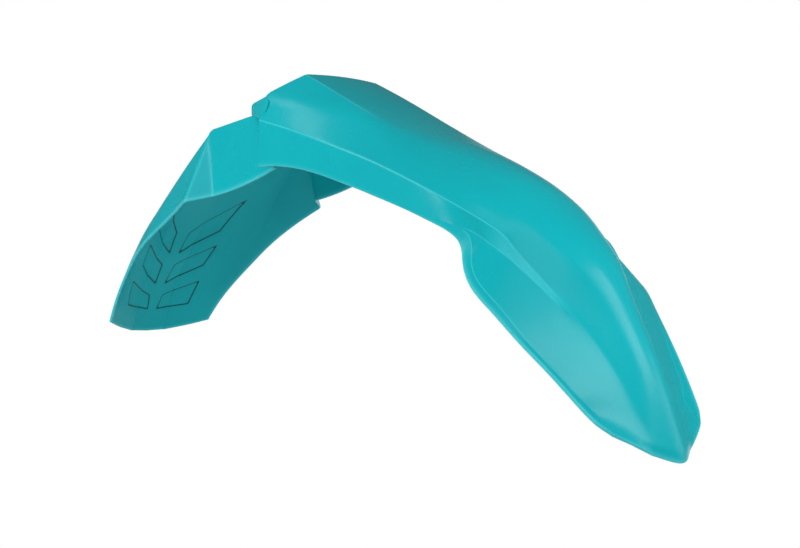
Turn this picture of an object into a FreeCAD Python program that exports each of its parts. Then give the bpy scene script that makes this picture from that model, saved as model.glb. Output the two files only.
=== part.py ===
"""Front mudguard of an off-road motorcycle, injection moulded as one thin-walled piece.

Frame, in millimetres: the origin is the centre of the bolt pattern on the top face of the
mounting platform. X points forward to the nose, Y to the left and Z up, square to the platform.

The nose and body are one skin, drawn through guide rails that a stylist would set: each rail
gives points (x, half width, z) at numbered stations that run from the body's rear end (0) to
the front edge (12). The rear flap has rails of its own, from the neck (0) to its lower edge (5).
"""
import FreeCAD, Part
import os

Vec = FreeCAD.Vector

# Walls and edges
wall = 2.8                    # thickness of the moulded skin
platform_thickness = 4.0      # thickness of the mounting platform
hem_band = 1.5                # height of each of the two bands along the body's lower edge

# Bolt pattern on the platform
bolt_spacing_x = 46.0
bolt_spacing_y = 60.0
bolt_hole_r = 3.5
seat_r = 9.0                  # washer seats under the platform
seat_height = 1.5

# Neck between the fork legs
neck_half_top = 65.0
neck_half_bottom = 70.5
neck_depth = 60.0             # height over which the neck's walls lean out
rim_rear_z = 0.0              # the rim beside the platform, at its rear and front ends
rim_front_z = 16.0
neck_rear_x = -59.0
neck_rear_low_x = -44.0
neck_rear_low_z = -70.0
neck_mid_low_x = 5.0
neck_mid_low_z = -60.5
neck_front_low_z = -46.0

# Body: rear end, widths and the slanted cut behind its top
body_rear_x = 50.0
body_half = 88.0              # half width at the side crease
body_wall_half = 90.0         # half width at the lower edge
body_rear_low_z = -45.0
ridge_half = 50.0             # half width between the two top ridges
shoulder_half = 80.0          # half width and height of the soft shoulder at the rear end
shoulder_z = 24.5
crease_rear_z = 0.5           # height of the side crease at the rear end
ramp_foot_z = 28.0            # the slanted cut starts at this height over the rear end
ramp_run = 25.5
ramp_rise = 19.5

# Gussets that brace the neck's rim against the body's rear corners
gusset_length = 31.0
gusset_tip_half = 72.0
gusset_tip_low_z = 8.5
gusset_tip_high_z = 20.0

# Wings beside the nose and the tip of the nose
wing_half = 118.0
wing_corner_x = 363.0
wing_corner_z = -162.0
tip_x = 490.5
tip_z = -304.0

# Rear flap
flap_corner_half = 96.5
flap_corner_x = -64.0
flap_corner_z = -76.0
flap_bottom_half = 70.0
flap_bottom_x = -242.0
flap_bottom_z = -206.5
flap_panel_half = 23.0        # half width of the flat panel along the flap's middle
flap_centre_x = -272.0
flap_centre_z = -219.0

# Recessed grip pads inside the flap, three pairs of slanted leaves
pad_depth = 0.8
pad_inner_half = 9.0
pad_inner_low_half = 6.5
pad_outer_half = 46.5
pad_outer_low_half = 42.5
pad_rows = [
    # upper and lower height at the inner side, then at the outer side
    (-104.0, -129.0, -80.0, -104.0),
    (-142.0, -164.0, -119.0, -142.0),
    (-178.0, -194.0, -161.0, -188.0),
]

# Guide rails of the nose and body, from the crown out to the hem
body_rails = {
    "crown": {0: (body_rear_x, 0, 62), 1: (110, 0, 34), 3: (220, 0, -19), 4: (275, 0, -40),
              5: (316, 0, -58.5), 7: (361.5, 0, -88.5), 8: (387, 0, -112.5), 9: (412, 0, -141.5),
              10: (433, 0, -177), 11: (460.5, 0, -229.5), 11.8: (tip_x - 6.5, 0, tip_z + 17),
              12: (tip_x, 0, tip_z)},
    "ridge": {0: (body_rear_x, ridge_half - 3, 59), 1: (110, ridge_half, 31), 2: (168, ridge_half, 2),
              3: (220, ridge_half - 3, -23), 5: (316, 42, -69.5), 6: (339, 39.5, -82.5), 7: (360, 36, -96),
              8: (381, 31.5, -115), 9: (406.3, 24.8, -142), 10: (430.5, 16, -178), 11: (459, 11, -230),
              11.8: (tip_x - 9, 10.5, tip_z + 16.5), 12: (tip_x - 3.5, 10.5, tip_z + 1.5)},
    "shoulder": {0: (body_rear_x, shoulder_half, shoulder_z), 1: (116, 77.5, 8.5), 2: (177, 74, -11.5),
                 3: (227, 70, -32), 5: (318, 63, -81), 6: (338, 57, -92.5), 7: (355, 51.5, -104),
                 8: (372, 46, -118), 9: (395.5, 38.2, -141), 10: (420, 27, -177.5), 11: (455.5, 19, -232),
                 11.8: (tip_x - 12.5, 17.8, tip_z + 18), 12: (tip_x - 7, 17.5, tip_z + 4)},
    "crease": {0: (body_rear_x, body_half, crease_rear_z), 1: (110, body_half, -16),
               2: (166, body_half, -34), 3: (219, body_half, -52), 4: (281.5, body_half - 3, -78),
               5: (315, 77, -96), 6: (335, 69, -108.5), 7: (349, 63, -119.5), 8: (359.5, 56, -135),
               9: (384, 49.5, -160.5), 10: (412, 39.5, -192), 11: (450, 27, -237),
               11.8: (tip_x - 16, 24.5, tip_z + 20), 12: (tip_x - 10.5, 24, tip_z + 7)},
    "ledge": {5: (331.5, 91.5, -113.5), 6: (346.5, 84, -123), 7: (362.8, 78.6, -135), 8: (376.5, 69, -149.5),
              9: (395, 55.5, -171.5), 10: (415.5, 44, -197), 11: (447, 31, -240.5),
              11.8: (tip_x - 19, 28.5, tip_z + 21), 12: (tip_x - 12, 28, tip_z + 9)},
    "rim": {5: (334, 94.5, -116), 6: (349.5, 104, -140.5),
            7: (wing_corner_x + 3, wing_half - 6.5, wing_corner_z + 1.5), 8: (383.5, 105, -180.5),
            9: (403, 95.5, -206.5), 10: (419.5, 84.5, -228), 11: (438, 72, -251.5), 11.8: (454.5, 62, -271),
            12: (464, 62, -279)},
    "hem": {0: (body_rear_x, body_wall_half, body_rear_low_z), 1: (110, body_wall_half, -50),
            2: (168, body_wall_half, -65), 3: (218, body_wall_half, -81), 4: (278, body_wall_half, -102),
            5: (325, 96.5, -121), 6: (343.5, 108, -141), 7: (wing_corner_x, wing_half, wing_corner_z),
            8: (380.5, 112.7, -181.5), 9: (400.5, 103.5, -204.5), 10: (421, 92.5, -227.5),
            11: (441, 81.5, -252), 11.8: (457, 70.5, -271.5), 12: (461.5, 66.5, -276.5)},
}
# Along the body the ledge and the rim follow the hem as two narrow bands
for station in range(5):
    x, half, z = body_rails["hem"][station]
    body_rails["rim"][station] = (x, half, z + hem_band)
    body_rails["ledge"][station] = (x, half, z + 2 * hem_band)

body_stations = [0, 1, 2, 3, 4, 5, 6, 7, 8, 9, 10, 11, 11.8, 12]
# Middle point of the strip that bends smoothly, the top between the two ridges
body_bows = (6,)

# Guide rails of the rear flap, from its middle out to its edge
flap_rails = {
    "middle": {0: (neck_rear_x - 1, 0, -1), 1: (-125, 0, -44), 2: (-187, 0, -92), 3: (-216, 0, -128),
               4: (-244.5, 0, -164), 5: (flap_centre_x, 0, flap_centre_z)},
    "panel": {0: (neck_rear_x - 1, flap_panel_half, -1), 1: (-125, flap_panel_half, -44),
              2: (-187, flap_panel_half, -92), 3: (-216, flap_panel_half, -128),
              4: (-244.5, flap_panel_half, -164),
              5: (flap_centre_x + 3, flap_panel_half, flap_centre_z + 1)},
    "fold": {0: (neck_rear_x - 2, neck_half_top, -4), 1: (-115, 69, -49), 2: (-160, 70, -90),
             3: (-190, 69, -123), 4: (-223, 63, -160), 5: (-254, 52, -212)},
    "edge": {0: (flap_corner_x, flap_corner_half, flap_corner_z), 1: (-105, 90.5, -96), 2: (-145, 89, -117),
             3: (-178, 85, -141), 4: (-214, 77, -173), 5: (flap_bottom_x, flap_bottom_half, flap_bottom_z)},
}
flap_stations = [0, 1, 2, 3, 4, 5]
# Distance from the corner of the fold to where its rounding starts, station by station
fold_reach = [5.0, 16.0, 22.0, 19.0, 14.0, 10.0]
neck_fold_reach = 3.0
# Middle point of the strip that bends smoothly, the panel along the flap's middle
flap_bows = (5,)


def rail_curve(points, stations):
    """Smooth curve through points, with the station number as its parameter."""
    curve = Part.BSplineCurve()
    curve.interpolate(Points=points, Parameters=[float(s) for s in stations])
    return curve


def row_curve(poles):
    """Straight or simply bent curve over two or three poles."""
    curve = Part.BSplineCurve()
    degree = len(poles) - 1
    curve.buildFromPolesMultsKnots(poles, [degree + 1, degree + 1], [0.0, 1.0], False, degree)
    return curve


def bow_poles(start, middle, end):
    """Poles of a simple bow that starts, passes half way and ends at the given points."""
    return [start, middle * 2 - (start + end) * 0.5, end]


def strip(rails):
    """Face between two rails, or through three, whose edges are exactly the outer rails."""
    rows = [rail.getPoles() for rail in rails]
    if len(rows) == 3:
        rows[1] = [bow_poles(*points)[1] for points in zip(*rows)]
    across = len(rows) - 1
    lead = rails[0]
    surface = Part.BSplineSurface()
    surface.buildFromPolesMultsKnots(
        [list(points) for points in zip(*rows)], lead.getMultiplicities(), [across + 1, across + 1],
        lead.getKnots(), [0.0, 1.0], False, False, lead.Degree, across)
    return surface.toShape()


def rail_tangent(curve, station):
    """Direction of a rail at a station, from the first to the last."""
    step = 0.02
    before = max(curve.FirstParameter, station - step)
    after = min(curve.LastParameter, station + step)
    return (curve.value(after) - curve.value(before)).normalize()


def mirrored(point):
    return Vec(point.x, -point.y, point.z)


def half_section(curves, station, depth, inward):
    """Points of one half section, from the middle outwards, set in from the outer face by depth.

    Each point moves along the mitred normals of the strips on its two sides, so the wall keeps
    its thickness also where a section lies aslant. The sign of inward says on which side of the
    strips the inner face lies.
    """
    points = [curve.value(station) for curve in curves]
    tangents = [rail_tangent(curve, station) for curve in curves]
    normals = []
    for i in range(len(curves) - 1):
        along = tangents[i] + tangents[i + 1]
        across = points[i + 1] - points[i]
        normals.append(along.cross(across).normalize() * inward)
    shifts = [Vec(normals[0].x, 0, normals[0].z).normalize()]
    for before, after in zip(normals, normals[1:]):
        shifts.append((before + after) * (1 / (1 + before.dot(after))))
    shifts.append(normals[-1])
    return [point + shift * depth for point, shift in zip(points, shifts)]


def full_section(half):
    """Points of a section from its right end over the middle to its left end."""
    return [mirrored(point) for point in half[:0:-1]] + half


def guide_curve(points):
    """Curve of a rail that is given as points at numbered stations."""
    marks = sorted(points)
    return rail_curve([Vec(*points[mark]) for mark in marks], marks)


def sections_of(curves, stations, depth, inward):
    """Full sections at the stations, set in from the outer face by depth."""
    return [full_section(half_section(curves, s, depth, inward)) for s in stations]


def rounded_fold(inner, corner, outer, reach):
    """Points where the rounding of a fold starts, is half way and ends."""
    start = corner + (inner - corner).normalize() * reach
    end = corner + (outer - corner).normalize() * reach
    return [start, (start + corner * 2 + end) * 0.25, end]


def skin_faces(sections, stations, bows):
    """Strips of one skin. A bow is a strip that bends smoothly through its middle point."""
    if len(sections) == 2:
        rails = [row_curve(list(points)) for points in zip(*sections)]
    else:
        rails = [rail_curve(list(points), stations) for points in zip(*sections)]
    spans = spans_of(len(rails), bows)
    return [strip(rails[a:b + 1]) for a, b in spans], rails


def spans_of(count, bows):
    """First and last point of each strip across a section; the bows name their middle points."""
    starts = [i for i in range(count) if i not in bows]
    return list(zip(starts, starts[1:]))


def section_curves(section, bows):
    """Curves of one section, strip by strip."""
    curves = []
    for a, b in spans_of(len(section), bows):
        points = section[a:b + 1]
        curves.append(row_curve(bow_poles(*points) if len(points) == 3 else points))
    return curves


def section_edges(section, bows):
    return [curve.toShape() for curve in section_curves(section, bows)]


def end_cap(outer, inner, bows):
    """Faces that close the wall between an outer and an inner section."""
    pairs = zip(section_curves(outer, bows), section_curves(inner, bows))
    return [strip([a, b]) for a, b in pairs]


def wall_faces(outers, inners, stations, bows):
    """Outer and inner skin, and the two long edges between them, open at both ends."""
    outer_faces, outer_rails = skin_faces(outers, stations, bows)
    inner_faces, inner_rails = skin_faces(inners, stations, bows)
    edges = [strip([outer_rails[i], inner_rails[i]]) for i in (0, -1)]
    return outer_faces + inner_faces + edges


def sewn_solid(faces):
    """Solid inside a closed set of faces."""
    skin = Part.makeCompound(faces)
    skin.sewShape(0.01)
    solid = Part.Solid(skin.Shells[0])
    if solid.Volume < 0:
        solid.reverse()
    return solid


def body_sections(depth):
    """Sections of the body and nose, the first one flat in the plane of the body's rear end."""
    curves = [guide_curve(points) for points in body_rails.values()]
    sections = sections_of(curves, body_stations, depth, -1)
    for point in sections[0]:
        point.x = body_rear_x
    return sections


def polygon_face(corners):
    return Part.Face(Part.makePolygon(corners + corners[:1]))


def side_prism(outline, half_width):
    """Solid with an outline given as (x, z) in side view, as wide as twice half_width."""
    corners = [Vec(x, -half_width, z) for x, z in outline]
    return polygon_face(corners).extrude(Vec(0, 2 * half_width, 0))


def body_shell():
    """Skin of the body, the nose and its two wings, with the slanted cut behind its top."""
    outers = body_sections(0)
    inners = body_sections(wall)
    faces = wall_faces(outers, inners, body_stations, body_bows)
    faces += end_cap(outers[0], inners[0], body_bows)
    faces += end_cap(outers[-1], inners[-1], body_bows)
    cut_run = 4 * ramp_run
    cut_top = ramp_foot_z + 4 * ramp_rise
    behind_ramp = side_prism([(body_rear_x - cut_run, ramp_foot_z), (body_rear_x, ramp_foot_z),
                              (body_rear_x + cut_run, cut_top), (body_rear_x - cut_run, cut_top)],
                             wing_half)
    return sewn_solid(faces).cut(behind_ramp)


def neck_half(z):
    """Half width of the neck's outer faces at a height: the walls lean out downwards."""
    return neck_half_top - (neck_half_bottom - neck_half_top) * z / neck_depth


def neck_prism(top_z, inset, start_x, end_x):
    """Block as wide as the neck less an inset each side, from below the neck up to top_z."""
    low_z = neck_rear_low_z - neck_depth
    corners = []
    for sign, z in ((1, low_z), (1, top_z), (-1, top_z), (-1, low_z)):
        corners.append(Vec(start_x, sign * (neck_half(z) - inset), z))
    return polygon_face(corners).extrude(Vec(end_x - start_x, 0, 0))


def neck_channel():
    """Space under the platform, between the neck's walls."""
    return neck_prism(-platform_thickness, wall, neck_rear_x - neck_depth, body_rear_x + 2 * wall)


def neck():
    """Channel between the fork legs: two walls, the platform and a low rim beside it."""
    front_x = body_rear_x + wall
    rear = Vec(neck_rear_x, 0, rim_rear_z)
    rear_low = Vec(neck_rear_low_x, 0, neck_rear_low_z)
    front_low = Vec(front_x, 0, neck_front_low_z)
    front = Vec(front_x, 0, rim_front_z)
    lower_edge = Part.BSplineCurve()
    lower_edge.interpolate([rear_low, Vec(neck_mid_low_x, 0, neck_mid_low_z), front_low])
    outline = Part.Wire([Part.LineSegment(rear, rear_low).toShape(), lower_edge.toShape(),
                         Part.LineSegment(front_low, front).toShape(),
                         Part.LineSegment(front, rear).toShape()])
    side = Part.Face(outline)
    side.translate(Vec(0, -flap_corner_half, 0))
    block = side.extrude(Vec(0, 2 * flap_corner_half, 0))
    block = block.common(neck_prism(rim_front_z + wall, 0, neck_rear_x - wall, front_x + wall))
    tray_half = neck_half_top - wall
    tray = Part.makeBox(front_x - neck_rear_x + 2 * wall, 2 * tray_half, rim_front_z + wall,
                        Vec(neck_rear_x - wall, -tray_half, 0))
    return block.cut(neck_channel()).cut(tray)


def neck_rear_section(depth):
    """Section where the neck ends and the flap begins, in the slanting plane of the neck's end."""
    lean = (neck_half_bottom - neck_half_top) / neck_depth
    slant = (1 + lean * lean) ** 0.5
    corner_shift = depth * (slant - lean)
    outline = [(0, -depth), (flap_panel_half, -depth),
               (neck_half_top - corner_shift, -depth),
               (neck_half(neck_rear_low_z) - depth * slant, neck_rear_low_z)]
    run = (neck_rear_low_x - neck_rear_x) / (neck_rear_low_z - rim_rear_z)
    corners = [Vec(neck_rear_x + (z - rim_rear_z) * run, y, z) for y, z in outline]
    return full_section(corners[:2] + rounded_fold(*corners[1:], neck_fold_reach) + corners[3:])


def flap_sections(depth):
    """Sections of the flap, with the fold between its back and its sides rounded."""
    rows = []
    for station, reach in zip(flap_stations, fold_reach):
        corners = [Vec(*flap_rails[name][station]) for name in ("middle", "panel", "fold", "edge")]
        rows.append(corners[:2] + rounded_fold(*corners[1:], reach) + corners[3:])
    curves = [rail_curve(list(points), flap_stations) for points in zip(*rows)]
    return sections_of(curves, flap_stations, depth, 1)


def flap():
    """Rear flap with the flared facets that widen it behind the neck."""
    outers = flap_sections(0)
    inners = flap_sections(wall)
    outer_start = neck_rear_section(0)
    inner_start = neck_rear_section(wall)
    faces = wall_faces(outers, inners, flap_stations, flap_bows)
    faces += wall_faces([outer_start, outers[0]], [inner_start, inners[0]], None, flap_bows)
    faces += end_cap(outer_start, inner_start, flap_bows)
    faces += end_cap(outers[-1], inners[-1], flap_bows)
    return sewn_solid(faces)


def grip_pads():
    """Thin leaves to be taken out of the flap's inner face."""
    clear = pad_depth
    inner_side = flap_sections(wall + clear)
    floor_side = flap_sections(wall - pad_depth)
    faces = wall_faces(inner_side, floor_side, flap_stations, flap_bows)
    faces += end_cap(inner_side[0], floor_side[0], flap_bows)
    faces += end_cap(inner_side[-1], floor_side[-1], flap_bows)
    layer = sewn_solid(faces)
    leaves = []
    for inner_top, inner_low, outer_top, outer_low in pad_rows:
        outline = [(pad_inner_half, inner_top), (pad_inner_low_half, inner_low),
                   (pad_outer_low_half, outer_low), (pad_outer_half, outer_top)]
        for side in (1, -1):
            corners = [Vec(flap_centre_x - wall, side * y, z) for y, z in outline]
            block = polygon_face(corners).extrude(Vec(neck_rear_x - flap_centre_x, 0, 0))
            leaves.append(layer.common(block))
    return leaves


def prismatoid(base, tip):
    """Solid between two flat outlines with the same number of corners."""
    faces = [polygon_face(base), polygon_face(tip)]
    rails = [row_curve([a, b]) for a, b in zip(base, tip)]
    for first, second in zip(rails, rails[1:] + rails[:1]):
        faces.append(strip([first, second]))
    return sewn_solid(faces)


def body_core():
    """Rear end of the body filled up to the middle of its wall."""
    first, second = body_sections(wall / 2)[:2]
    for point in second:
        point.x = body_rails["crown"][1][0]
    faces, rails = skin_faces([first, second], None, body_bows)
    faces.append(strip([rails[0], rails[-1]]))
    for section in (first, second):
        edges = section_edges(section, body_bows)
        edges.append(Part.LineSegment(section[-1], section[0]).toShape())
        faces.append(Part.Face(Part.Wire(edges)))
    return sewn_solid(faces)


def bulkhead():
    """Wall that closes the body's rear end: upright round the neck, then slanted under the cut."""
    slope = (ramp_run ** 2 + ramp_rise ** 2) ** 0.5
    side_x = ramp_rise / slope
    side_z = -ramp_run / slope
    far_x = body_rear_x + 3 * ramp_run
    far_z = ramp_foot_z + 3 * ramp_rise
    profile = [(body_rear_x, body_rear_low_z), (body_rear_x, ramp_foot_z), (far_x, far_z),
               (far_x + wall * side_x, far_z + wall * side_z),
               (body_rear_x + wall, ramp_foot_z + wall * side_z / (1 + side_x)),
               (body_rear_x + wall, body_rear_low_z)]
    return side_prism(profile, wing_half).common(body_core()).cut(neck_channel())


def gusset_wedge(side, inset, base_low_z, tip_low_z, gusset_tip_x):
    """Wedge between the neck's wall and the body's rear corner, set in by an inset."""
    inner_half = neck_half_top - wall / 2
    base = [(inner_half, base_low_z), (body_half - inset, base_low_z),
            (shoulder_half - inset, shoulder_z - inset), (inner_half, ramp_foot_z - inset)]
    tip = [(inner_half, tip_low_z), (gusset_tip_half - inset, tip_low_z),
           (gusset_tip_half - inset, gusset_tip_high_z - inset), (inner_half, gusset_tip_high_z - inset)]
    base_corners = [Vec(body_rear_x + wall / 2, side * y, z) for y, z in base]
    tip_corners = [Vec(gusset_tip_x, side * y, z) for y, z in tip]
    return prismatoid(base_corners, tip_corners)


def gusset(side):
    """Hollow brace from the neck's rim out to the body's rear corner, open below."""
    gusset_tip_x = body_rear_x - gusset_length
    outer = gusset_wedge(side, 0, crease_rear_z, gusset_tip_low_z, gusset_tip_x)
    hollow = gusset_wedge(side, wall, crease_rear_z - wall, crease_rear_z - wall, gusset_tip_x + wall)
    return outer.cut(hollow)


def bolt_places():
    for sx in (1, -1):
        for sy in (1, -1):
            yield Vec(sx * bolt_spacing_x / 2, sy * bolt_spacing_y / 2, 0)


def mudguard():
    """The whole moulding."""
    pieces = [neck(), flap(), bulkhead(), gusset(1), gusset(-1)]
    for place in bolt_places():
        low = place - Vec(0, 0, platform_thickness + seat_height)
        pieces.append(Part.makeCylinder(seat_r, platform_thickness + seat_height, low))
    solid = body_shell().fuse(pieces)
    cutters = grip_pads()
    for place in bolt_places():
        low = place - Vec(0, 0, 2 * platform_thickness)
        cutters.append(Part.makeCylinder(bolt_hole_r, 4 * platform_thickness, low))
    return solid.cut(cutters).Solids[0]


if __name__ == "__main__":
    os.makedirs("parts", exist_ok=True)
    mudguard().exportStep("parts/mudguard.step")
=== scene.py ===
"""Studio scene of a front mudguard for an off-road motorcycle, moulded as one thin wall.

The tables of rails, reaches and leaves are in millimetres, in the frame of the part: X forward to
the nose, Y to the left, Z up, with the origin at the middle of the bolt pattern.
"""
import math

import bmesh
import bpy
import numpy as np
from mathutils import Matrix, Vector


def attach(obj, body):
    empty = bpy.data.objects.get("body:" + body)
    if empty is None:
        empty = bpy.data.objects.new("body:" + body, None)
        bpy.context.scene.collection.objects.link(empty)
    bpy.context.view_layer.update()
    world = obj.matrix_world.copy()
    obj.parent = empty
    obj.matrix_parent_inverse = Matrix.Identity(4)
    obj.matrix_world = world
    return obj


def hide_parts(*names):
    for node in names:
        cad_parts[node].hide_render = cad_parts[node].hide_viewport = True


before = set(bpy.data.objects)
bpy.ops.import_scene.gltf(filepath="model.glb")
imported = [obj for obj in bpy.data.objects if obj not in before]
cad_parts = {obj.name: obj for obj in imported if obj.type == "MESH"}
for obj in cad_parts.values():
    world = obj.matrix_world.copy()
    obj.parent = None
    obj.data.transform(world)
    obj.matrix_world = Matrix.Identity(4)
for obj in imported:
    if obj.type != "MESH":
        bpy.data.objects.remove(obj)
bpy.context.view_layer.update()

bl_info = {
    "name": "Moulded Mudguard",
    "version": (1, 0, 0),
    "blender": (4, 5, 0),
    "location": "View3D > Sidebar > Mudguard",
    "description": "Builds a one-piece moulded front mudguard and its studio",
    "category": "Object",
}

MM = 0.001
# Factors that mirror a point, put it on the middle plane, and keep its level or upright part
MIRROR = np.array((1.0, -1.0, 1.0))
ON_MIDDLE = np.array((1.0, 0.0, 1.0))
LEVEL = np.array((1.0, 1.0, 0.0))
UPRIGHT = np.array((0.0, 0.0, 1.0))

# Guide rails of the body and nose, from the crown out to the hem: station, then x, half width, z
BODY_RAILS = {
    "crown": {0: (50, 0, 62), 1: (110, 0, 34), 3: (220, 0, -19), 4: (275, 0, -40), 5: (316, 0, -58.5),
              7: (361.5, 0, -88.5), 8: (387, 0, -112.5), 9: (412, 0, -141.5), 10: (433, 0, -177),
              11: (460.5, 0, -229.5), 11.8: (484, 0, -287), 12: (490.5, 0, -304)},
    "ridge": {0: (50, 47, 59), 1: (110, 50, 31), 2: (168, 50, 2), 3: (220, 47, -23), 5: (316, 42, -69.5),
              6: (339, 39.5, -82.5), 7: (360, 36, -96), 8: (381, 31.5, -115), 9: (406.3, 24.8, -142),
              10: (430.5, 16, -178), 11: (459, 11, -230), 11.8: (481.5, 10.5, -287.5),
              12: (487, 10.5, -302.5)},
    "shoulder": {0: (50, 80, 24.5), 1: (112, 72.5, 12), 1.5: (141.5, 65, 5), 2: (171, 60, -5),
                 3: (221.5, 66.5, -33), 4: (274, 67, -59.5), 5: (318, 63, -81), 6: (338, 57, -92.5),
                 7: (355, 51.5, -104), 8: (372, 46, -118), 9: (395.5, 38.2, -141), 10: (420, 27, -177.5),
                 11: (455.5, 19, -232), 11.8: (478, 17.8, -286), 12: (483.5, 17.5, -300)},
    "crease": {0: (50, 88, 0.5), 1: (110, 88, -16), 2: (166, 88, -34), 3: (219, 88, -52),
               4: (281.5, 85, -78), 5: (315, 77, -96), 6: (335, 69, -108.5), 7: (349, 63, -119.5),
               8: (359.5, 56, -135), 9: (384, 49.5, -160.5), 10: (412, 39.5, -192), 11: (450, 27, -237),
               11.8: (474.5, 24.5, -284), 12: (480, 24, -297)},
    "ledge": {0: (50, 90, -42), 1: (110, 90, -47), 2: (168, 90, -62), 3: (218, 90, -78), 4: (278, 90, -99),
              5: (331.5, 91.5, -113.5), 6: (346.5, 84, -123), 7: (362.8, 78.6, -135), 8: (376.5, 69, -149.5),
              9: (395, 55.5, -171.5), 10: (415.5, 44, -197), 11: (447, 31, -240.5), 11.8: (471.5, 28.5, -283),
              12: (478.5, 28, -295)},
    "rim": {0: (50, 90, -43.5), 1: (110, 90, -48.5), 2: (168, 90, -63.5), 3: (218, 90, -79.5),
            4: (278, 90, -100.5), 5: (334, 94.5, -116), 6: (349.5, 104, -140.5), 7: (366, 111.5, -160.5),
            8: (383.5, 105, -180.5), 9: (403, 95.5, -206.5), 10: (419.5, 84.5, -228), 11: (438, 72, -251.5),
            11.8: (454.5, 62, -271), 12: (464, 62, -279)},
    "hem": {0: (50, 90, -45), 1: (110, 90, -50), 2: (168, 90, -65), 3: (218, 90, -81), 4: (278, 90, -102),
            5: (325, 96.5, -121), 6: (343.5, 108, -141), 7: (363, 118, -162), 8: (380.5, 112.7, -181.5),
            9: (400.5, 103.5, -204.5), 10: (421, 92.5, -227.5), 11: (441, 81.5, -252),
            11.8: (457, 70.5, -271.5), 12: (461.5, 66.5, -276.5)},
}
# How far the rounding of each line reaches to both sides, by station
BODY_REACH = {
    "ridge": {0: 1.6, 1.5: 2.2, 2: 5.0, 3: 8.0, 4: 10.0, 5: 15.0, 7: 16.0, 12: 12.0},
    "shoulder": {0: 7.0, 2: 9.0, 3: 14.0, 5: 12.0, 12: 8.0},
    "crease": {0: 2.0, 5: 2.0, 7: 2.6, 9: 3.0, 12: 4.0},
    "ledge": {0: 0.6, 4: 0.6, 5: 1.4, 7: 1.6, 9: 2.0, 12: 3.0},
    "rim": {0: 0.6, 4: 0.6, 5: 1.2, 7: 1.5, 12: 1.5},
}
# Points between neighbouring lines of a half section, from the crown out
BODY_MIDS = (8, 5, 5, 4, 12, 3)
# Last station, stations tried along the rails, and the station up to which the cut shifts the rows
BODY_END = 12
BODY_TRIES = 601
CUT_END = 5
# Rows of points along the body: first station, last station, count
BODY_ROWS = ((0, 5, 58), (5, 8, 60), (8, 11, 48), (11, 12, 32))
# Painted highlights: how strongly the crisp lines are painted paler, by station
BODY_PAINTED_HIGHLIGHTS = {
    "ridge": {0: 1.0, 0.5: 1.0, 1.5: 0.8, 2.4: 0.0},
    "crease": {0: 1.0, 5: 1.0, 8: 0.9, 9.4: 0.6, 10: 0.0},
    "ledge": {4.7: 0.0, 5: 1.0, 9.0: 0.9, 9.8: 0.0},
    "rim": {4.8: 0.0, 5: 1.0, 7: 1.0, 11.6: 0.7, 12: 0.5},
}
# Columns a painted highlight line covers, counted from its middle, with their shares
LINE_COLUMNS = ((-1, 0.4), (0, 1.0), (1, 0.4))
# How pale the body's free edge is, by station
EDGE_LINE = {4.8: 0.6, 5.6: 0.9}
# Painted highlight on the narrow facet between crease and ledge, lightening its shade, by station
FACET_PAINTED_LIGHT = {5.6: 0.0, 7.0: 0.75, 8.2: 1.0, 9.2: 0.8, 9.9: 0.0}
# Between these stations the lines from the crown to a few columns above the rim melt into one bow
MELT_START = 9.0
MELT_END = 10.3
MELT_PASSES = 50
MELT_RIM_GAP = 4
# Front corners, drawn in along the last stretch of the edge
CORNER_START = 11.7
CORNER_PULL = 6.0
CORNER_CURVE = 3
# Small chamfer round the body's rear end: its run in stations and its drop
REAR_EDGE_RUN = 0.022
REAR_EDGE_DROP = 0.8
# Front lip, turned down along the front edge; it spares the outer columns and fades in beside them
LIP_START = 11.89
LIP_DROP = 2.0
LIP_CURVE = 1.3
LIP_SPARED = 14
LIP_FADE = 12

# Guide rails of the rear flap, from its middle out to its edge
FLAP_RAILS = {
    "middle": {0: (-60, 0, -1), 1: (-125, 0, -44), 2: (-187, 0, -92), 3: (-216, 0, -128),
               4: (-244.5, 0, -164), 5: (-272, 0, -219)},
    "panel": {0: (-60, 23, -1), 1: (-125, 23, -44), 2: (-187, 23, -92), 3: (-216, 23, -128),
              4: (-244.5, 23, -164), 5: (-269, 23, -218)},
    "fold": {0: (-61, 65, -4), 1: (-115, 69, -49), 2: (-160, 70, -90), 3: (-190, 69, -123),
             4: (-223, 63, -160), 5: (-254, 52, -212)},
    "edge": {0: (-64, 96.5, -76), 1: (-105, 90.5, -96), 2: (-145, 89, -117), 3: (-178, 85, -141),
             4: (-214, 77, -173), 5: (-242, 70, -206.5)},
}
FLAP_REACH = {
    "panel": {0: 4.0, 1: 2.0, 2: 1.0, 5: 1.0},
    "fold": {0: 4.0, 1: 14.0, 2: 20.0, 3: 19.0, 4: 14.0, 5: 9.5},
}
FLAP_MIDS = (13, 20, 9)
FLAP_END = 5
FLAP_ROWS = 150
FLARE_ROWS = 7
NECK_ROWS = 27

# Neck between the fork legs and the cut behind the body's top
NECK_HALF_TOP = 65.0
NECK_LEAN = 5.5 / 60.0
NECK_FRONT_X = 53.0
NECK_REAR_X = -59.0
NECK_PANEL_HALF = 23.0
NECK_PANEL_REACH = 4.0
NECK_FOLD_REACH = 3.0
NECK_ROOF_CURVE = 6
NECK_REAR_SLOPE = -15.0 / 70.0
NECK_LOW = {0: (53, -45.9), 0.5: (5, -60.5), 1: (-44, -70)}
BODY_REAR_X = 50.0
RAMP_FOOT_Z = 28.0
RAMP_SIDE_X = 0.6075
RAMP_SIDE_Z = 0.7943
# The body's rear wall opens for the neck below this height, up to a share of the wall from the neck
REAR_OPENING_Z = -4.0
REAR_LIP_SHARE = 0.8
# Bolt holes: open cells round a hole against its radius, and how flat they lie
HOLE_REACH = 2.0
HOLE_FLATNESS = 1.0

# Low rims beside the platform
RIM_REAR_X = NECK_REAR_X + 4
RIM_REAR_Z = 0.3
RIM_FRONT_X = 52.4
RIM_FRONT_Z = 16.0
RIM_LOW_Z = -3.0
RIM_PROUD = 0.03
RIM_ROUND = 0.7
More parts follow.
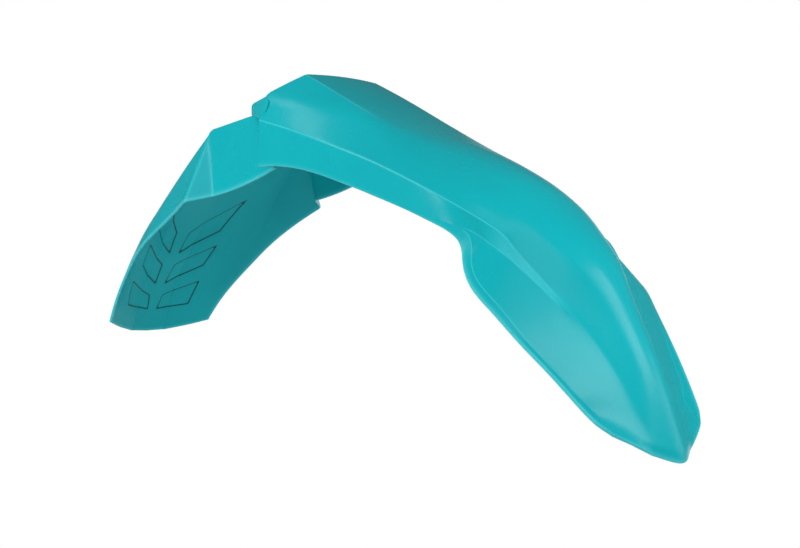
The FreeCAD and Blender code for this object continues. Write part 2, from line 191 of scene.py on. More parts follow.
# Corners of the left gusset: at the body, then at its tip
GUSSET = (
    (51.4, 63.6, 0.5), (51.4, 88, 0.5), (51.4, 80, 24.5), (51.4, 63.6, 28), (60.5, 83.4, 17.5),
    (59.5, 85.8, 10.5), (19, 63.6, 8.5), (19, 72, 8.5), (19, 72, 20), (19, 63.6, 20),
)
GUSSET_ROUND = 1.6
ROUND_SEGMENTS = 3
FLAT_DEGREES = 4
BRACE_EDGE = 0.15

# Leaves inside the flap, as corners (distance from the middle, height)
LEAVES = (
    ((9, -105), (6.5, -128.5), (42.5, -102), (49, -67.5)),
    ((9, -142), (6.5, -164), (42.5, -142), (46.5, -119)),
    ((9, -178), (6.5, -194), (42.5, -188), (46.5, -161)),
)
# Width of a leaf's sloped border, where leaves may start, and the distance that marks no leaf
LEAF_SLOPE = 1.2
LEAF_FRONT_X = NECK_REAR_X - 15
NO_LEAF = -50.0
# The flat panel between the leaves lies a little deeper below this height
PANEL_HALF = 22.5
PANEL_TOP_Z = -108.0
PANEL_FADE = 8.0

# Steps across a rounded line, and turns in degrees across a rounded free edge
ROUND_STEPS = (0.0, 0.25, 0.5, 0.75, 1.0)
RIM_TURNS = (36, 72, 108, 144)
# Largest share of a side that a rounding takes, and reach of inner roundings against outer ones
REACH_LIMIT = 0.45
BODY_INNER_REACH = 0.8
FLAP_INNER_REACH = 0.85
# Width along the free edges where they turn paler, and the fold that is shaded as sharp
EDGE_FADE = 5.0
SHARP_DEGREES = 50


def slopes(marks, points):
    """Slopes of a smooth curve through points at the given marks."""
    gaps = np.diff(marks)
    rates = np.diff(points, axis=0) / gaps[:, None]
    system = np.eye(len(marks))
    right = np.zeros_like(points)
    right[0] = rates[0] + (rates[0] - rates[1]) * gaps[0] / (gaps[0] + gaps[1])
    right[-1] = rates[-1] + (rates[-1] - rates[-2]) * gaps[-1] / (gaps[-1] + gaps[-2])
    for i in range(1, len(marks) - 1):
        system[i, i - 1:i + 2] = (1 / gaps[i - 1], 2 / gaps[i - 1] + 2 / gaps[i], 1 / gaps[i])
        right[i] = 3 * (rates[i - 1] / gaps[i - 1] + rates[i] / gaps[i])
    return np.linalg.solve(system, right)


def along(rail, at):
    """Points of a rail at the given stations."""
    marks = np.array(sorted(rail), float)
    points = np.array([rail[mark] for mark in sorted(rail)], float)
    lean = slopes(marks, points)
    at = np.clip(at, marks[0], marks[-1])
    i = np.clip(np.searchsorted(marks, at, side="right") - 1, 0, len(marks) - 2)
    gap = (marks[i + 1] - marks[i])[:, None]
    t = (at - marks[i])[:, None] / gap
    start = points[i] * (1 + 2 * t) * (1 - t) ** 2 + lean[i] * gap * t * (1 - t) ** 2
    end = points[i + 1] * t * t * (3 - 2 * t) + lean[i + 1] * gap * t * t * (t - 1)
    return start + end


def unit(vectors):
    """Directions of vectors, each of length one."""
    return vectors / np.maximum(np.linalg.norm(vectors, axis=-1, keepdims=True), 1e-9)


def read_table(table, at):
    """Values of a table at the given stations."""
    marks = sorted(table)
    return np.interp(at, marks, [table[mark] for mark in marks])


def run_share(at, start, end):
    """How far stations lie from a start to an end, from 0 to 1."""
    return np.clip((at - start) / (end - start), 0, 1)


def eased(share):
    """Share from 0 to 1 that starts and ends softly."""
    return share * share * (3 - 2 * share)


def bow(start, pole, end, t):
    """Points of a bow from start to end, drawn towards its pole."""
    return start * (1 - t) ** 2 + pole * 2 * t * (1 - t) + end * t * t


def wall_corners(rails, at, depth, inward):
    """Corner points of half sections, set in from the outer face by depth with mitred corners."""
    corners = [along(rail, at) for rail in rails.values()]
    if depth == 0:
        return corners
    step = 0.02
    ahead = [unit(along(rail, at + step) - along(rail, at - step)) for rail in rails.values()]
    sides = []
    for k in range(len(corners) - 1):
        sides.append(unit(np.cross(ahead[k] + ahead[k + 1], corners[k + 1] - corners[k])) * inward)
    shifts = [unit(sides[0] * ON_MIDDLE)]
    for before, after in zip(sides, sides[1:]):
        shifts.append((before + after) / (1 + (before * after).sum(axis=1, keepdims=True)))
    shifts.append(sides[-1])
    return [corner + shift * depth for corner, shift in zip(corners, shifts)]


def rounded_section(corners, reaches, mids, bowed):
    """Half sections as rows of points: straight between rounded corners, or bowed over the top."""
    lengths = [np.linalg.norm(b - a, axis=1) for a, b in zip(corners, corners[1:])]
    last = len(corners) - 1
    limits = [np.zeros_like(lengths[0])]
    for k in range(1, last):
        limits.append(np.minimum(reaches[k - 1], REACH_LIMIT * np.minimum(lengths[k - 1], lengths[k])))
    limits.append(np.zeros_like(lengths[0]))

    def point(k, share):
        share = share[:, None]
        if k or not bowed:
            return corners[k] * (1 - share) + corners[k + 1] * share
        mirror = corners[1] * MIRROR
        pole = 2 * corners[0] - (corners[1] + mirror) / 2
        return bow(mirror, pole, corners[1], 0.5 + share / 2)

    columns = [corners[0]]
    for k in range(last):
        first = limits[k] / lengths[k]
        final = 1 - limits[k + 1] / lengths[k]
        for i in range(1, mids[k] + 1):
            share = 0.5 - 0.5 * math.cos(math.pi * i / (mids[k] + 1))
            if k == 0:
                share = math.sin(math.pi / 2 * i / (mids[k] + 1))
            columns.append(point(k, first + (final - first) * share))
        if k + 1 == last:
            columns.append(corners[last])
            continue
        start = point(k, final)
        end = point(k + 1, limits[k + 1] / lengths[k + 1])
        columns += [bow(start, corners[k + 1], end, t) for t in ROUND_STEPS]
    return np.stack(columns, axis=1)


def both_halves(half, factor=MIRROR):
    """Whole sections from the right edge over the middle to the left edge."""
    return np.concatenate((half[:, :0:-1] * factor, half), axis=1)


def reach_at(tables, at, factor):
    """Reach of each line's rounding at the given stations."""
    return [read_table(table, at) * factor for table in tables.values()]


def row_stations():
    """Stations of the body's rows, with one more row for the rear chamfer."""
    parts = [np.linspace(a, b, n, endpoint=False) for a, b, n in BODY_ROWS]
    parts[0] = np.insert(parts[0], 1, REAR_EDGE_RUN)
    return np.append(np.concatenate(parts), BODY_END)


def cut_x(z, depth):
    """Where the body starts at a height: upright at its rear end, slanted above the foot."""
    upright = BODY_REAR_X + depth
    slanted = BODY_REAR_X + (depth + RAMP_SIDE_Z * (z - RAMP_FOOT_Z)) / RAMP_SIDE_X
    return np.maximum(upright, slanted)


def line_column(name):
    """Column of a half sheet that runs along the middle of a line's rounding."""
    k = list(BODY_RAILS).index(name)
    return sum(BODY_MIDS[:k]) + (k - 1) * len(ROUND_STEPS) + len(ROUND_STEPS) // 2 + 1


def melted(sheet, at, last):
    """Sheet whose lines from the crown to a last column melt away towards the tip."""
    share = 0.5 * eased(run_share(at, MELT_START, MELT_END))[:, None, None]
    for _ in range(MELT_PASSES):
        wide = np.concatenate((sheet[:, 1:2] * MIRROR, sheet[:, :last + 1]), axis=1)
        mean = (wide[:, :-2] + wide[:, 2:]) / 2
        sheet[:, :last] += share * (mean - sheet[:, :last])
    return sheet


def rounded_corner(sheet, at, rim):
    """Sheet whose front corner is drawn in along its own rows; the lip beyond the rim follows."""
    run = run_share(at, CORNER_START, BODY_END)
    pull = CORNER_PULL * run * run
    for row in np.flatnonzero(pull):
        line = sheet[row].copy()
        walk = np.pad(np.cumsum(np.linalg.norm(np.diff(line, axis=0), axis=1)), (1, 0))
        drawn = walk - pull[row] * np.clip(walk / walk[rim], 0, 1) ** CORNER_CURVE
        for axis in range(3):
            sheet[row, :rim + 1, axis] = np.interp(drawn[:rim + 1], walk, line[:, axis])
        sheet[row, rim + 1:] += sheet[row, rim] - line[rim]
    return sheet


def front_lip(sheet, at):
    """Sheet whose last stretch turns down as a lip along the front edge."""
    turn = run_share(at, LIP_START, BODY_END)[:, None, None] ** LIP_CURVE
    ahead = unit(np.gradient(sheet, axis=0))
    across = unit(np.gradient(sheet, axis=1))
    count = sheet.shape[1]
    fade = np.clip((count - LIP_SPARED - np.arange(count)) / LIP_FADE, 0, 1)[None, :, None]
    return sheet + unit(np.cross(across, ahead)) * turn * fade * LIP_DROP


def painted_highlights(stations, columns):
    """Painted highlight on each point of the half sheet, along the crisp lines and the facet, from 0 to 1."""
    share = np.zeros((len(stations), columns))
    for name, table in BODY_PAINTED_HIGHLIGHTS.items():
        strength = read_table(table, stations)
        middle = line_column(name)
        for side, part in LINE_COLUMNS:
            share[:, middle + side] = strength * part
    # The narrow facet is painted lighter: a painted highlight over its shade
    facet = slice(line_column("crease"), line_column("ledge") + 1)
    share[:, facet] = np.maximum(share[:, facet], read_table(FACET_PAINTED_LIGHT, stations)[:, None])
    return share


def body_sheet(depth, cut_depth):
    """Half sheet of the body and nose, started at the cut behind the body's top."""
    fine = np.linspace(0, BODY_END, BODY_TRIES)
    corners = wall_corners(BODY_RAILS, fine, depth, -1)
    factor = 1.0 if depth == 0 else BODY_INNER_REACH
    sheet = rounded_section(corners, reach_at(BODY_REACH, fine, factor), BODY_MIDS, True)
    rim = line_column("rim")
    sheet = melted(sheet, fine, rim - MELT_RIM_GAP)
    sheet = rounded_corner(sheet, fine, rim)
    sheet = front_lip(sheet, fine)
    stations = row_stations()
    rows = np.empty((len(stations),) + sheet.shape[1:])
    for c in range(sheet.shape[1]):
        spare = sheet[:, c, 0] - cut_x(sheet[:, c, 2], cut_depth)
        first = int(np.argmax(spare >= -1e-6))
        start = fine[first]
        if first:
            start -= (fine[1] - fine[0]) * spare[first] / (spare[first] - spare[first - 1])
        at = np.where(stations < CUT_END, start + stations * (1 - start / CUT_END), stations)
        for axis in range(3):
            rows[:, c, axis] = np.interp(at, fine, sheet[:, c, axis])
    if depth == 0:
        ahead = rows[2] - rows[1]
        across = np.gradient(rows[1], axis=0)
        rows[0] += unit(np.cross(across, ahead)) * REAR_EDGE_DROP
    return rows


def neck_half(z):
    """Half width of the neck's outer faces at a height."""
    return NECK_HALF_TOP - NECK_LEAN * z


def neck_rows(depth, platform):
    """Corner points of the neck's half sections, from the body to the flap."""
    u = np.linspace(0, 1, NECK_ROWS)
    low = along(NECK_LOW, u)
    slant = math.hypot(1, NECK_LEAN)
    roof = np.zeros_like(u)
    if depth:
        roof = -(platform + (depth - platform) * u ** NECK_ROOF_CURVE)
    top_x = NECK_FRONT_X + (NECK_REAR_X + NECK_REAR_SLOPE * roof - NECK_FRONT_X) * u
    corner = NECK_HALF_TOP - depth * (slant - NECK_LEAN)
    tops = [np.stack((top_x, np.full_like(u, y), roof), axis=1) for y in (0.0, NECK_PANEL_HALF, corner)]
    return tops + [np.stack((low[:, 0], neck_half(low[:, 1]) - depth * slant, low[:, 1]), axis=1)]


def joined_rows(neck, flap, reach):
    """Neck and flap as one sheet, with the two folds of the flared facets rounded."""
    first = neck[-1]
    second = flap[0]
    flare = unit(second - first)
    width = np.linalg.norm(second - first, axis=1, keepdims=True)
    limit = np.minimum(reach, REACH_LIMIT * width)
    before = first + unit(neck[-2] - first) * limit
    after = second + unit(flap[1] - second) * limit
    rows = list(neck[:-1])
    rows += [bow(before, first, first + flare * limit, t) for t in ROUND_STEPS]
    for share in np.linspace(0, 1, FLARE_ROWS)[1:-1]:
        rows.append(first + flare * (limit + (width - 2 * limit) * share))
    rows += [bow(second - flare * limit, second, after, t) for t in ROUND_STEPS]
    return np.stack(rows + list(flap[2:]), axis=0)


def flap_sheet(depth, platform, fold_round):
    """Half sheet of the neck and the rear flap."""
    at = np.linspace(0, FLAP_END, FLAP_ROWS)
    factor = 1.0 if depth == 0 else FLAP_INNER_REACH
    reaches = reach_at(FLAP_REACH, at, factor)
    flap = rounded_section(wall_corners(FLAP_RAILS, at, depth, 1), reaches, FLAP_MIDS, False)
    reaches = [np.full(NECK_ROWS, NECK_PANEL_REACH), np.full(NECK_ROWS, NECK_FOLD_REACH * factor)]
    neck = rounded_section(neck_rows(depth, platform), reaches, FLAP_MIDS, False)
    return joined_rows(neck, flap, fold_round)


def leaf_distance(points):
    """Signed distance of points to the nearest leaf's outline, positive inside a leaf."""
    best = np.full(points.shape[:-1], NO_LEAF)
    flat = np.stack((np.abs(points[..., 1]), points[..., 2]), axis=-1)
    for leaf in LEAVES:
        corners = np.array(leaf, float)
        inside = np.full(points.shape[:-1], 1e6)
        for a, b in zip(corners, np.roll(corners, -1, axis=0)):
            edge = (b - a) / np.linalg.norm(b - a)
            side = edge[0] * (flat[..., 1] - a[1]) - edge[1] * (flat[..., 0] - a[0])
            inside = np.minimum(inside, side)
        best = np.maximum(best, inside)
    on_flap = points[..., 0] < LEAF_FRONT_X
    return np.where(on_flap, best, NO_LEAF)


class Moulding:
    """Points, faces and marks of the moulding while it is put together."""

    def __init__(self):
        self.points = []
        self.faces = []
        self.marks = {"inside": [], "edge": [], "leaf": []}

    def add(self, points, inside=0.0, edge=0.0, leaf=NO_LEAF):
        """Takes points in and gives their numbers back, in the same layout."""
        shape = np.shape(points)[:-1]
        start = len(self.points)
        self.points.extend(np.reshape(points, (-1, 3)))
        for name, value in (("inside", inside), ("edge", edge), ("leaf", leaf)):
            self.marks[name].extend(np.broadcast_to(value, shape).ravel())
        return np.arange(start, len(self.points)).reshape(shape)

    def face(self, *corners, flip=False):
        self.faces.append([int(c) for c in (corners[::-1] if flip else corners)])

    def sheet(self, grid, flip, gaps=()):
        """Faces of a sheet of points, apart from gaps given as row and column ranges."""
        open_cells = set()
        for r0, r1, c0, c1 in gaps:
            open_cells.update((r, c) for r in range(r0, r1) for c in range(c0, c1))
        for r in range(grid.shape[0] - 1):
            for c in range(grid.shape[1] - 1):
                if (r, c) in open_cells:
                    continue
                self.face(grid[r, c], grid[r + 1, c], grid[r + 1, c + 1], grid[r, c + 1], flip=flip)

    def rim(self, outer, inner, sheet, flip, bulge):
        """Rounded edge between the free borders of two sheets; gives the lines along it."""
        cells = border_of(sheet)
        first = np.array([outer[cell] for cell in cells])
        last = np.array([inner[cell] for cell in cells])
        top = np.array([self.points[i] for i in first])
        low = np.array([self.points[i] for i in last])
        out = border_out(sheet)
        middle = (top + low) / 2
        arm = (top - low) / 2
        width = np.linalg.norm(arm, axis=1, keepdims=True)
        lines = [first]
        for angle in RIM_TURNS:
            turn = math.radians(angle)
            swell = out * width * bulge * math.sin(turn)
            lines.append(self.add(middle + arm * math.cos(turn) + swell, edge=1.0))
        lines.append(last)
        for near, far in zip(lines, lines[1:]):
            for i in range(len(near) - 1):
                self.face(near[i + 1], near[i], far[i], far[i + 1], flip=flip)
        return np.stack(lines)

    def hole(self, outer, inner, block, centre, radius):
        """Round hole through the platform, in a block of cells left open in both sheets."""
        r0, r1, c0, c1 = block
        loop = [(r0, c) for c in range(c0, c1)] + [(r, c1) for r in range(r0, r1)]
        loop += [(r1, c) for c in range(c1, c0, -1)] + [(r, c0) for r in range(r1, r0, -1)]
        rings = []
        for grid in (outer, inner):
            border = np.array([self.points[grid[cell]] for cell in loop])
            spokes = unit((border - centre) * LEVEL)
            rings.append(self.add(centre * LEVEL + spokes * radius + border * UPRIGHT, edge=0.5))
        lines = [[outer[cell] for cell in loop], *rings, [inner[cell] for cell in loop]]
        for i in range(len(loop)):
            j = (i + 1) % len(loop)
            for near, far in zip(lines, lines[1:]):
                self.face(near[i], near[j], far[j], far[i])

    def solid(self, mesh, edge):
        """Takes in a finished small solid."""
        points = np.array([v.co for v in mesh.verts]) / MM
        numbers = self.add(points, edge=edge)
        for face in mesh.faces:
            self.face(*(numbers[v.index] for v in face.verts))


def border_of(sheet):
    """Row and column of each point along a sheet's free border, from right to left."""
    rows, columns = sheet.shape[:2]
    cells = [(r, 0) for r in range(rows)] + [(rows - 1, c) for c in range(1, columns)]
    return cells + [(r, columns - 1) for r in range(rows - 2, -1, -1)]


def border_out(sheet):
    """Directions that point out of a sheet along its free border."""
    right = unit(sheet[:, 0] - sheet[:, 1])
    front = unit(sheet[-1] - sheet[-2])
    left = unit(sheet[:, -1] - sheet[:, -2])
    corner_right = unit(right[-1] + front[0])[None]
    corner_left = unit(left[-1] + front[-1])[None]
    return np.concatenate((right[:-1], corner_right, front[1:-1], corner_left, left[-2::-1]))


def edge_share(sheet):
    """How near each point of a sheet lies to its free border, from 0 to 1."""
    steps = np.linalg.norm(np.diff(sheet, axis=1), axis=2)
    walk = np.pad(np.cumsum(steps, axis=1), ((0, 0), (1, 0)))
    side = np.minimum(walk, walk[:, -1:] - walk)
    runs = np.linalg.norm(np.diff(sheet, axis=0), axis=2)
    back = np.pad(np.cumsum(runs[::-1], axis=0)[::-1], ((0, 1), (0, 0)))
    return np.clip(1 - np.minimum(side, back) / EDGE_FADE, 0, 1)


def add_body(moulding, sizes):
    """Body and nose as a closed thin wall, with the wall that closes the body's rear end."""
    wall = sizes.wall / MM
    outer_half = body_sheet(0.0, 0.0)
    inner_half = body_sheet(wall, wall)
    outer_sheet = both_halves(outer_half)
    inner_sheet = both_halves(inner_half)
    # The crisp lines and the narrow facet take a painted highlight in the paler edge colour
    lines = both_halves(painted_highlights(row_stations(), outer_half.shape[1]), 1.0)
    pale = read_table(EDGE_LINE, row_stations())[:, None]
    outer = moulding.add(outer_sheet, edge=np.maximum(pale * edge_share(outer_sheet), lines))
    inner = moulding.add(inner_sheet, inside=1.0, edge=edge_share(inner_sheet))
    moulding.sheet(outer, False)
    moulding.sheet(inner, True)
    lines = moulding.rim(outer, inner, outer_sheet, False, sizes.edge_swell)
    add_rear_wall(moulding, outer, inner, outer_half, inner_half, lines, wall)


def add_rear_wall(moulding, outer, inner, outer_half, inner_half, lines, wall):
    """Wall across the body's rear end, open round the neck's channel."""
    count = outer_half.shape[1]
    middle = count - 1
    opening = int(np.argmax(outer_half[0, :, 2] < REAR_OPENING_Z))
    lips = []
    for grid, half, flip in ((outer, outer_half, False), (inner, inner_half, True)):
        left = grid[0, middle:]
        right = grid[0, middle::-1]
        lip = half[0].copy()
        lip[:, 1] = neck_half(lip[:, 2]) - REAR_LIP_SHARE * wall
        lip_l = moulding.add(lip, inside=float(flip))
        lip_r = moulding.add(lip * MIRROR, inside=float(flip))
        lips.append((lip_l, lip_r))
        faces = [(left[0], left[1], right[1])]
        faces += [(left[h], left[h + 1], right[h + 1], right[h]) for h in range(1, opening - 1)]
        h = opening - 1
        faces.append((left[h], left[h + 1], lip_l[h + 1], lip_r[h + 1], right[h + 1], right[h]))
        for h in range(opening, count - 1):
            faces.append((left[h], left[h + 1], lip_l[h + 1], lip_l[h]))
            faces.append((right[h + 1], right[h], lip_r[h], lip_r[h + 1]))
        for corners in faces:
            moulding.face(*corners, flip=flip)
    (lip_l, lip_r), (lip_l_in, lip_r_in) = lips
    moulding.face(lip_r[opening], lip_l[opening], lip_l_in[opening], lip_r_in[opening])
    for h in range(opening, count - 1):
        moulding.face(lip_l[h], lip_l[h + 1], lip_l_in[h + 1], lip_l_in[h])
        moulding.face(lip_r[h + 1], lip_r[h], lip_r_in[h], lip_r_in[h + 1])
    moulding.face(lip_l[-1], *lines[:, -1], lip_l_in[-1])
    moulding.face(*lines[::-1, 0], lip_r[-1], lip_r_in[-1])


def add_flap(moulding, sizes):
    """Neck with its bolt holes and rear flap with its leaves, as a closed thin wall."""
    wall = sizes.wall / MM
    outer_half = flap_sheet(0.0, 0.0, sizes.fold_round / MM)
    inner_half = flap_sheet(wall, sizes.platform / MM, sizes.fold_round / MM)
    leaf = leaf_distance(inner_half)
    sunk = eased(np.clip(leaf / LEAF_SLOPE + 0.5, 0, 1))
    panel = np.clip(PANEL_HALF - np.abs(inner_half[..., 1]) + 0.5, 0, 1)
    panel = panel * np.clip((PANEL_TOP_Z - inner_half[..., 2]) / PANEL_FADE, 0, 1)
    sunk = sunk + panel * sizes.panel_depth / sizes.leaf_depth
    inner_half = inner_half + unit(outer_half - inner_half) * (sunk * sizes.leaf_depth / MM)[..., None]
    outer_sheet = both_halves(outer_half)
    inner_sheet = both_halves(inner_half)
    outer = moulding.add(outer_sheet, edge=edge_share(outer_sheet))
    inner = moulding.add(inner_sheet, inside=1.0, edge=edge_share(inner_sheet),
                         leaf=both_halves(leaf, 1.0))
    radius = sizes.hole_radius / MM
    spread = np.array((sizes.spacing_x, sizes.spacing_y, 0.0)) / MM / 2
    centres = [spread * (x, y, 0) for x in (1, -1) for y in (1, -1)]
    blocks = [hole_block(outer_sheet, centre, HOLE_REACH * radius) for centre in centres]
    moulding.sheet(outer, True, blocks)
    moulding.sheet(inner, False, blocks)
    for centre, block in zip(centres, blocks):
        moulding.hole(outer, inner, block, centre, radius)
    lines = moulding.rim(outer, inner, outer_sheet, True, sizes.edge_swell)
    for c in range(outer.shape[1] - 1):
        moulding.face(outer[0, c + 1], outer[0, c], inner[0, c], inner[0, c + 1])
    moulding.face(lines[-1, 0], *lines[:-1, 0])
    moulding.face(lines[0, -1], *lines[:0:-1, -1])


def hole_block(sheet, centre, reach):
    """Block of cells of the platform that holds one bolt hole."""
    flat = np.abs(sheet[:NECK_ROWS - 1] - centre)
    rows = np.nonzero(flat[:, sheet.shape[1] // 2, 0] < reach)[0]
    columns = np.nonzero((flat[rows[0], :, 1] < reach) & (flat[rows[0], :, 2] < HOLE_FLATNESS))[0]
    return rows[0], rows[-1], columns[0], columns[-1]


def hull(corners, round_width):
    """Small solid over corner points, with softly rounded edges."""
    mesh = bmesh.new()
    for corner in corners:
        mesh.verts.new(Vector(corner) * MM)
    made = bmesh.ops.convex_hull(mesh, input=mesh.verts)
    loose = [v for v in made["geom_interior"] + made["geom_unused"] if isinstance(v, bmesh.types.BMVert)]
    bmesh.ops.delete(mesh, geom=loose, context="VERTS")
    bmesh.ops.recalc_face_normals(mesh, faces=mesh.faces)
    bmesh.ops.dissolve_limit(mesh, angle_limit=math.radians(FLAT_DEGREES), verts=mesh.verts, edges=mesh.edges)
    bmesh.ops.bevel(mesh, geom=mesh.edges[:], offset=round_width * MM, segments=ROUND_SEGMENTS,
                    profile=0.5, affect="EDGES", clamp_overlap=True)
    mesh.verts.index_update()
    return mesh


def add_braces(moulding, sizes):
    """Low rims beside the platform and the gussets that brace them against the body."""
    wall = sizes.wall / MM
    for side in (1, -1):
        rim = []
        for x, top in ((RIM_REAR_X, RIM_REAR_Z), (RIM_FRONT_X, RIM_FRONT_Z)):
            for z in (RIM_LOW_Z, top):
                outer = min(neck_half(z), NECK_HALF_TOP) + RIM_PROUD
                rim += [(x, side * outer, z), (x, side * (NECK_HALF_TOP - wall), z)]
        gusset = [(x, side * y, z) for x, y, z in GUSSET]
        for corners, width in ((rim, RIM_ROUND), (gusset, GUSSET_ROUND)):
            mesh = hull(corners, width)
            moulding.solid(mesh, BRACE_EDGE)
            mesh.free()


def principled(material):
    """Main shader of a new material."""
    return next(n for n in material.node_tree.nodes if n.type == "BSDF_PRINCIPLED")


def node(tree, kind, links=(), **values):
    """Adds a shader node, sets its values and links its inputs."""
    made = tree.nodes.new(kind)
    for name, value in values.items():
        setattr(made, name, value)
    for key, source in links:
        socket = made.inputs[key]
        if isinstance(source, bpy.types.NodeSocket):
            tree.links.new(source, socket)
        else:
            socket.default_value = source
    return made


def reckoned(tree, operation, *values):
    """Result of a math node with the given values."""
    return node(tree, "ShaderNodeMath", enumerate(values), operation=operation).outputs[0]


def ramp(tree, source, low, high, start=0.0, end=1.0):
    """Linear change from low to high while the source goes from start to end."""
    links = (("Value", source), ("From Min", start), ("From Max", end), ("To Min", low), ("To Max", high))
    return node(tree, "ShaderNodeMapRange", links).outputs["Result"]


def mixed(tree, share, first, second):
    """Colour between two colours."""
    links = ((0, share), (6, first), (7, second))
    return node(tree, "ShaderNodeMix", links, data_type="RGBA").outputs[2]


# Plastic: scale and detail of its patches and of its grain, range of the patches, height of the grain,
# spread of the gloss, and how far from a leaf's outline the painted groove shade starts to fade and ends
PATCHES = (11.0, 3.0)
GRAIN = (1400.0, 2.0)
PATCH_RANGE = (0.3, 0.7)
GRAIN_HEIGHT = 0.0004
GLOSS_SPREAD = 0.04
GROOVE_FADE = (0.35, 0.9)
PLASTIC_IOR = 1.49


def moulded_plastic(finish):
    """Plastic coloured through: fine grain, uneven gloss, worn paler free edges with painted highlights along
    crisp lines, duller inside, grooves with painted shade.
    """
    material = bpy.data.materials.new("moulded_plastic")
    material.use_nodes = True
    tree = material.node_tree
    shader = principled(material)
    place = node(tree, "ShaderNodeTexCoord").outputs["Object"]
    inside, edge, leaf = (node(tree, "ShaderNodeAttribute", attribute_name=name).outputs["Fac"]
                          for name in ("inside", "edge", "leaf"))

    def noise(scale, detail):
        links = (("Vector", place), ("Scale", scale), ("Detail", detail))
        return node(tree, "ShaderNodeTexNoise", links).outputs["Fac"]

    patches = noise(*PATCHES)
    grain = noise(*GRAIN)
    spread = ramp(tree, patches, 0.0, 1.0, *PATCH_RANGE)
    colour = mixed(tree, spread, finish.colour, finish.colour_shade)
    # Paler edge colour: wear on the free edges, and painted highlight along the crisp lines and the narrow
    # facet
    worn_and_highlit = reckoned(tree, "POWER", edge, 2.0)
    colour = mixed(tree, ramp(tree, worn_and_highlit, 0.0, finish.edge_wear_and_highlight), colour, finish.colour_pale_edge_and_highlight)
    # Painted shade: the leaves' outlines are darkened where the shade of their grooves falls
    near = reckoned(tree, "ABSOLUTE", leaf)
    groove = ramp(tree, near, 1.0, 0.0, *GROOVE_FADE)
    colour = mixed(tree, ramp(tree, groove, 0.0, finish.groove_shade), colour, finish.colour_groove_painted_shade)
    tree.links.new(colour, shader.inputs["Base Color"])
    gloss = ramp(tree, patches, finish.roughness - GLOSS_SPREAD, finish.roughness + GLOSS_SPREAD,
                 *PATCH_RANGE)
    dull = reckoned(tree, "MULTIPLY", inside, finish.inside_dullness)
    tree.links.new(reckoned(tree, "ADD", gloss, dull), shader.inputs["Roughness"])
    rise = reckoned(tree, "SUBTRACT", grain, groove)
    bump = node(tree, "ShaderNodeBump",
                (("Height", rise), ("Strength", finish.grain), ("Distance", GRAIN_HEIGHT)))
    tree.links.new(bump.outputs["Normal"], shader.inputs["Normal"])
    shader.inputs["IOR"].default_value = PLASTIC_IOR
    shader.inputs["Specular IOR Level"].default_value = finish.sheen
    return material


# Settings for the panel: any number, a length in metres, a share from 0 to 1, a colour
def number_of(label, text, default, **limits):
    return bpy.props.FloatProperty(name=label, description=text, default=default, **limits)


def length_of(label, text, default):
    return number_of(label, text, default, min=0.0, unit="LENGTH", precision=5)


def share_of(label, text, default):
    return number_of(label, text, default, min=0.0, max=1.0, subtype="FACTOR")


def colour_of(label, text, default):
    return bpy.props.FloatVectorProperty(name=label, description=text, default=default, size=4,
                                         min=0.0, max=1.0, subtype="COLOR")


class MudguardSizes(bpy.types.PropertyGroup):
    """Sizes of the moulding that a user may change."""

    wall: length_of("Wall", "Thickness of the moulded wall", 0.0028)
    platform: length_of("Platform", "Thickness of the mounting platform", 0.004)
    edge_swell: share_of("Edge swell", "How far the free edges swell out, against half the wall", 0.5)
    fold_round: length_of("Fold round", "Reach of the rounding at the flared facets' folds", 0.005)
    leaf_depth: length_of("Leaf depth", "Depth of the leaves inside the flap", 0.0008)
    panel_depth: length_of("Panel depth", "Depth of the flat panel inside the flap", 0.0006)
    spacing_x: length_of("Spacing along", "Distance between the bolt holes along the part", 0.046)
    spacing_y: length_of("Spacing across", "Distance between the bolt holes across the part", 0.060)
    hole_radius: length_of("Hole radius", "Radius of the bolt holes", 0.0035)
    seat_radius: length_of("Seat radius", "Radius of the washer seats", 0.009)
    seat_height: length_of("Seat height", "Height of the washer seats", 0.0015)


class MudguardFinish(bpy.types.PropertyGroup):
    """Colours and gloss of the moulding."""

    colour: colour_of("Plastic", "Colour of the plastic", (0.006, 0.430, 0.480, 1.0))
    colour_shade: colour_of("Plastic, deeper", "Colour of its deeper patches", (0.005, 0.405, 0.460, 1.0))
    # Also the colour of the painted highlights along the crisp lines and the narrow facet
    colour_pale_edge_and_highlight: colour_of("Edges", "Colour of the rubbed free edges", (0.065, 0.590, 0.650, 1.0))
    # Painted shade in the leaves' grooves
    colour_groove_painted_shade: colour_of("Grooves", "Colour in the leaves' outlines", (0.001, 0.030, 0.034, 1.0))
    edge_wear_and_highlight: share_of("Edge wear", "How much the edges take their paler colour", 0.9)
    groove_shade: share_of("Groove shade", "How dark the leaves' outlines are", 0.9)
    roughness: share_of("Roughness", "Mean roughness of the outer face", 0.28)
    inside_dullness: share_of("Inside dullness", "Roughness added on the inner face", 0.14)
    sheen: share_of("Sheen", "Strength of the plastic's reflection", 0.15)
    grain: share_of("Grain", "Strength of the fine moulded grain", 0.12)


class MudguardStudio(bpy.types.PropertyGroup):
    """Floor, light and camera."""

    backdrop: colour_of("Backdrop", "Colour of the floor and the background", (1.0, 1.0, 1.0, 1.0))
    floor_height: number_of("Floor height", "Height of the floor in the part's frame", -0.56, unit="LENGTH")
    room_light: share_of("Room light", "Strength of the even light from all sides", 0.115)
    soft_light: number_of("Soft light", "Power of the large soft light in front", 44.0, min=0.0, unit="POWER")
    lens: number_of("Lens", "Focal length of the camera, in millimetres", 63.0, min=10.0)


